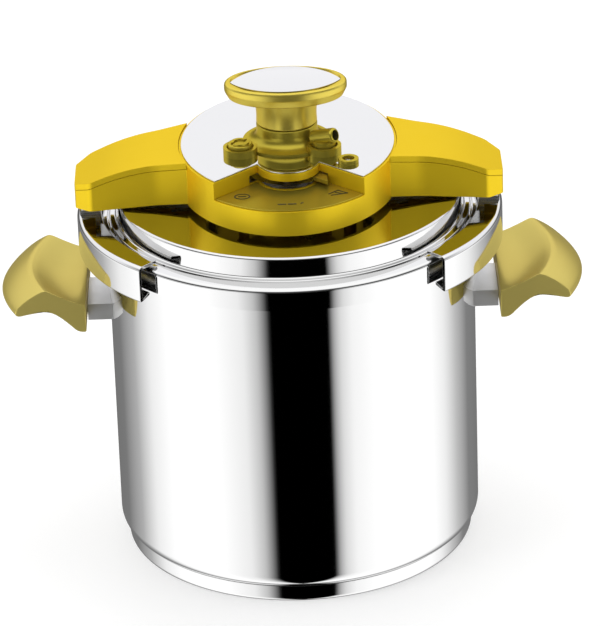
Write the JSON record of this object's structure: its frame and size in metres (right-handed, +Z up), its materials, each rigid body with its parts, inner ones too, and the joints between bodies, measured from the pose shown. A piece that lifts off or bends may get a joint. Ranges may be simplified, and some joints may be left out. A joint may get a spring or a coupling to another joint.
{
  "type": "pressure canner",
  "caption": "Tall polished steel pressure canner with a clamp-jaw lid, a turn knob that draws the jaws in, valves, a dial window and two side handles.",
  "frame": {"origin": "centre of the base plate's underside", "axes": "+Z up along the pot's axis, +X through the right handle, -Y is the front with the dial window"},
  "size_m": [0.3574, 0.239, 0.2999],
  "materials": {
    "mirror_steel": "mirror polished stainless steel",
    "inlay_steel": "bright domed inlay",
    "satin_steel": "satin",
    "base_aluminium": "plain",
    "brass": "turned",
    "silicone": "soft translucent",
    "gold_plastic": "metallic gold moulding, satin gloss",
    "grip_plastic": "metallic olive gold moulding, satin gloss"
  },
  "bodies": {
    "pot": {"pot_shell": "mirror_steel", "pot_rim": "mirror_steel", "base_cap": "mirror_steel", "base_core": "base_aluminium", "handle_bracket_left": "mirror_steel", "handle_bracket_right": "mirror_steel", "handle_grip_left": "grip_plastic", "handle_grip_right": "grip_plastic", "handle_screw_left": "satin_steel", "handle_screw_right": "satin_steel"},
    "lid": {"lid_shell": "mirror_steel", "lid_gasket": "silicone", "bridge_beam": "satin_steel", "beam_pads": "satin_steel", "jaw_guide_left": "satin_steel", "jaw_guide_right": "satin_steel", "guide_screws": "satin_steel", "spindle_bush": "brass", "centre_cover": "gold_plastic", "arm_panel_left": "gold_plastic", "arm_panel_right": "gold_plastic", "cover_posts": "satin_steel", "dial_plate": "gold_plastic", "trim_plate": "mirror_steel", "valve_housing": "gold_plastic", "safety_valve_tube": "brass", "safety_valve_seal": "silicone", "safety_valve_nut": "satin_steel", "steam_valve_tube": "brass", "steam_valve_seal": "silicone", "steam_valve_nut": "satin_steel", "indicator_sleeve": "brass", "indicator_cup": "gold_plastic"},
    "knob": {"cam_plate": "satin_steel", "retaining_ring": "satin_steel", "spindle_spacer": "satin_steel", "spindle": "satin_steel", "pointer": "gold_plastic", "knob_shell": "gold_plastic", "knob_screw": "satin_steel", "knob_inlay": "inlay_steel"},
    "left_jaw": {"jaw_left": "mirror_steel", "jaw_bar_left": "satin_steel", "jaw_rivets_left": "satin_steel", "drive_pin_left": "satin_steel"},
    "right_jaw": {"jaw_right": "mirror_steel", "jaw_bar_right": "satin_steel", "jaw_rivets_right": "satin_steel", "drive_pin_right": "satin_steel"},
    "safety_valve": {"safety_valve_stem": "brass", "safety_valve_head": "gold_plastic", "safety_valve_spring": "satin_steel"},
    "steam_valve": {"steam_valve_stem": "brass", "steam_valve_head": "gold_plastic", "steam_valve_spring": "satin_steel"},
    "indicator": {"indicator_pin": "brass", "indicator_seal": "silicone"}
  },
  "joints": [
    {"name": "lid_lift", "type": "slide", "parent": "pot", "child": "lid", "axis": [0, 0, 1], "range_m": [0, 0.12]},
    {"name": "knob_turn", "type": "hinge", "parent": "lid", "child": "knob", "pos_m": [0, 0, 0.25], "axis": [0, 0, 1], "range_deg": [-50, 0]},
    {"name": "jaw_left_slide", "type": "slide", "parent": "lid", "child": "left_jaw", "axis": [1, 0, 0], "range_m": [0, 0.0065]},
    {"name": "jaw_right_slide", "type": "slide", "parent": "lid", "child": "right_jaw", "axis": [-1, 0, 0], "range_m": [0, 0.0065]},
    {"name": "safety_valve_lift", "type": "slide", "parent": "lid", "child": "safety_valve", "axis": [0, 0, 1], "range_m": [0, 0.002], "stiffness_N_per_m": 400, "springref_m": -0.003, "deforming": ["safety_valve_spring"]},
    {"name": "steam_valve_lift", "type": "slide", "parent": "lid", "child": "steam_valve", "axis": [0, 0, 1], "range_m": [0, 0.002], "stiffness_N_per_m": 400, "springref_m": -0.003, "deforming": ["steam_valve_spring"]},
    {"name": "indicator_rise", "type": "slide", "parent": "lid", "child": "indicator", "axis": [0, 0, 1], "range_m": [0, 0.004]}
  ],
  "couplings": [
    {"joint": "jaw_left_slide", "follows": "knob_turn", "m_per_rad": -0.007448},
    {"joint": "jaw_right_slide", "follows": "knob_turn", "m_per_rad": -0.007448}
  ]
}
